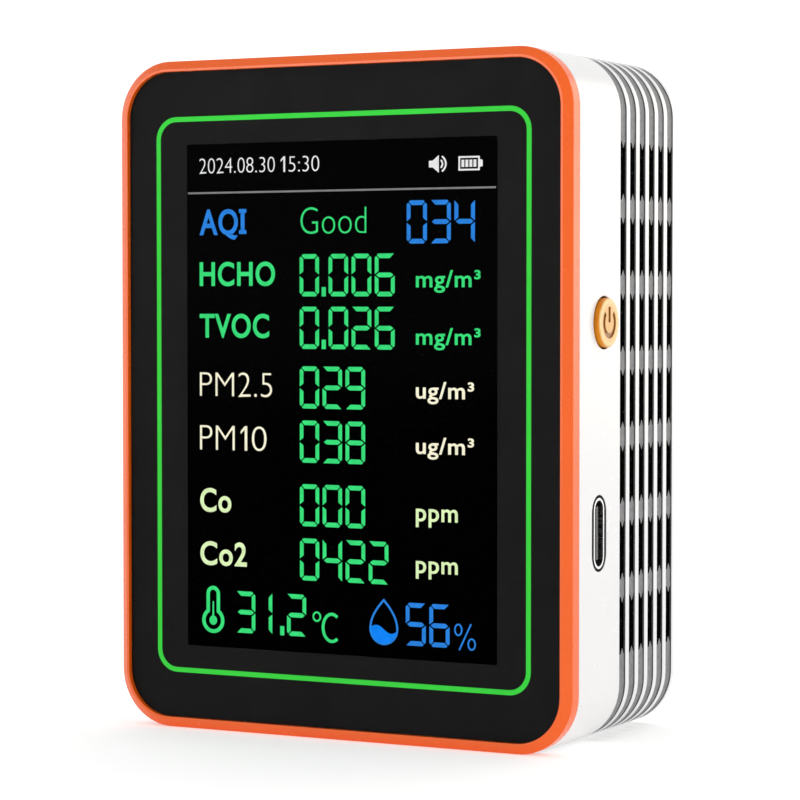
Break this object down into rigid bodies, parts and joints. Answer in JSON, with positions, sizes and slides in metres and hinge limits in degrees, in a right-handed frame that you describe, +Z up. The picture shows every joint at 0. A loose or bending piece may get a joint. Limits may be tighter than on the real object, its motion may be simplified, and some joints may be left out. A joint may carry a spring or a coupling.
{
  "type": "air quality monitor",
  "caption": "Desktop air quality monitor: slim white slotted case, bright front frame, dark lens with a colour display, side power button and charging socket, sensors inside.",
  "frame": {"origin": "middle of the flat underside, half way across the width and the depth", "axes": "+Z up, the display faces -Y, the power button and charging socket are on +X"},
  "size_m": [0.0665, 0.0344, 0.088],
  "materials": {
    "frame_orange": "glossy",
    "lens_clear": "polished",
    "print_green": "printed",
    "mask_black": "printed",
    "adhesive": "matte",
    "gasket_foam": "matte",
    "display_black": "polished",
    "tray_steel": "satin",
    "ribbon_amber": "satin",
    "case_white": "glossy",
    "filter_foam": "open foam",
    "screw_steel": "zinc plated",
    "board_green": "solder mask",
    "button_amber": "pearl",
    "switch_black": "matte",
    "plunger_ivory": "matte",
    "socket_steel": "polished",
    "seal_black": "matte",
    "insert_black": "matte",
    "chip_black": "matte",
    "connector_ivory": "matte",
    "buzzer_black": "satin",
    "cell_gold": "plated",
    "cell_steel": "satin",
    "sensor_grey": "matte",
    "humidity_white": "matte",
    "sensor_board_blue": "solder mask",
    "tray_black": "matte",
    "lid_steel": "satin",
    "fan_black": "satin",
    "laser_brass": "satin",
    "detector_black": "glossy",
    "wire_black": "satin",
    "wire_red": "satin",
    "cell_pouch": "satin foil",
    "tape_white": "matte"
  },
  "bodies": {
    "housing": {"front_frame": "frame_orange", "front_lens": "lens_clear", "border_line": "print_green", "lens_mask": "mask_black", "lens_tape": "adhesive", "display_gasket": "gasket_foam", "display_glass": "display_black", "display_backlight": "tray_steel", "display_ribbon": "ribbon_amber", "rear_case": "case_white", "vent_foam_right": "filter_foam", "vent_foam_left": "filter_foam", "case_screws": "screw_steel", "main_board": "board_green", "board_screws": "screw_steel", "power_switch": "switch_black", "socket_shell": "socket_steel", "socket_seal": "seal_black", "socket_insert": "insert_black", "board_chips": "chip_black", "board_connectors": "connector_ivory", "buzzer": "buzzer_black", "carbon_dioxide_sensor": "cell_gold", "carbon_monoxide_sensor": "cell_steel", "formaldehyde_sensor": "sensor_grey", "humidity_sensor": "humidity_white", "sensor_board": "sensor_board_blue", "sensor_tray": "tray_black", "sensor_lid": "lid_steel", "laser_diode": "laser_brass", "light_detector": "detector_black", "sensor_connector": "connector_ivory", "sensor_lead": "wire_black", "battery_cell": "cell_pouch", "battery_tape": "tape_white", "battery_lead": "wire_red"},
    "button": {"power_button": "button_amber", "switch_plunger": "plunger_ivory"},
    "fan": {"fan_rotor": "fan_black"}
  },
  "joints": [
    {"name": "button_press", "type": "slide", "parent": "housing", "child": "button", "axis": [-1, 0, 0], "range_m": [0, 0.0005], "stiffness_N_per_m": 1500, "springref_m": -0.0002},
    {"name": "fan_spin", "type": "hinge", "parent": "housing", "child": "fan", "pos_m": [-0.007, 0.01, 0.0275], "axis": [0, 1, 0], "continuous": true}
  ]
}
